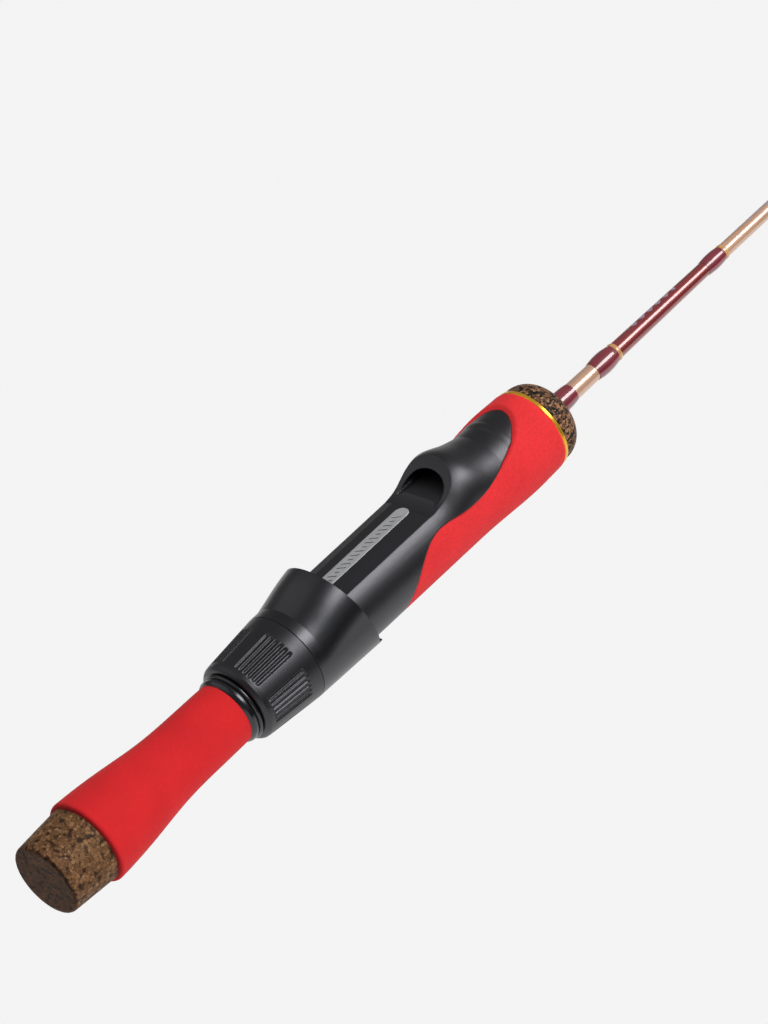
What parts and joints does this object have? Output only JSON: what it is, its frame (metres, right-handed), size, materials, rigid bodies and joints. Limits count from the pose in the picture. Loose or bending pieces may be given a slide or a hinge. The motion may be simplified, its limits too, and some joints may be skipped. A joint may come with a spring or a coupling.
{
  "type": "ice fishing rod",
  "caption": "Short ice fishing rod with foam and cork handle, screw-locking reel seat, tapered blank, thread wraps, ring guides and tip top.",
  "frame": {"origin": "centre of the flat cork butt face, on the rod's axis", "axes": "+X along the rod from the butt to the tip, +Z towards the side that carries the reel and the line guides"},
  "size_m": [0.66, 0.0284, 0.032],
  "materials": {
    "cork": "matte",
    "red_foam": "matte",
    "black_gloss": "gloss",
    "black_satin": "satin",
    "silver_inlay": "satin",
    "gold_metal": "gloss",
    "blank_graphite": "gloss",
    "arbor": "matte",
    "burgundy_thread": "gloss",
    "gold_thread": "gloss",
    "guide_steel": "polished",
    "ring_ceramic": "gloss"
  },
  "bodies": {
    "handle": {"blank": "blank_graphite", "butt_cap": "cork", "butt_wrap": "burgundy_thread", "fore_grip": "red_foam", "front_arbor": "arbor", "front_cork": "cork", "guide_frame_1": "guide_steel", "guide_frame_2": "guide_steel", "guide_frame_3": "guide_steel", "guide_frame_4": "guide_steel", "guide_ring_1": "ring_ceramic", "guide_ring_2": "ring_ceramic", "guide_ring_3": "ring_ceramic", "guide_ring_4": "ring_ceramic", "guide_trim_band_1": "gold_thread", "guide_trim_band_2": "gold_thread", "guide_trim_band_3": "gold_thread", "guide_trim_band_4": "gold_thread", "guide_wrap_1": "burgundy_thread", "guide_wrap_2": "burgundy_thread", "guide_wrap_3": "burgundy_thread", "guide_wrap_4": "burgundy_thread", "lower_trim_band": "gold_thread", "lower_wrap": "burgundy_thread", "rear_arbor": "arbor", "rear_collar": "black_gloss", "rear_grip": "red_foam", "reel_seat": "black_satin", "seat_inlay": "silver_inlay", "tip_ring": "ring_ceramic", "tip_top_frame": "guide_steel", "tip_wrap": "burgundy_thread", "trim_ring": "gold_metal", "upper_trim_band": "gold_thread", "upper_wrap": "burgundy_thread"},
    "sliding_hood": {"sliding_hood": "black_satin"},
    "lock_nut": {"lock_nut": "black_satin"}
  },
  "joints": [
    {"name": "hood_slide", "type": "slide", "parent": "handle", "child": "sliding_hood", "axis": [1, 0, 0], "range_m": [0, 0.012]},
    {"name": "nut_turn", "type": "hinge", "parent": "sliding_hood", "child": "lock_nut", "pos_m": [0.0857, 0, 0], "axis": [1, 0, 0], "range_deg": [0, 2160]}
  ],
  "couplings": [
    {"joint": "hood_slide", "follows": "nut_turn", "m_per_rad": 0.00031831}
  ]
}
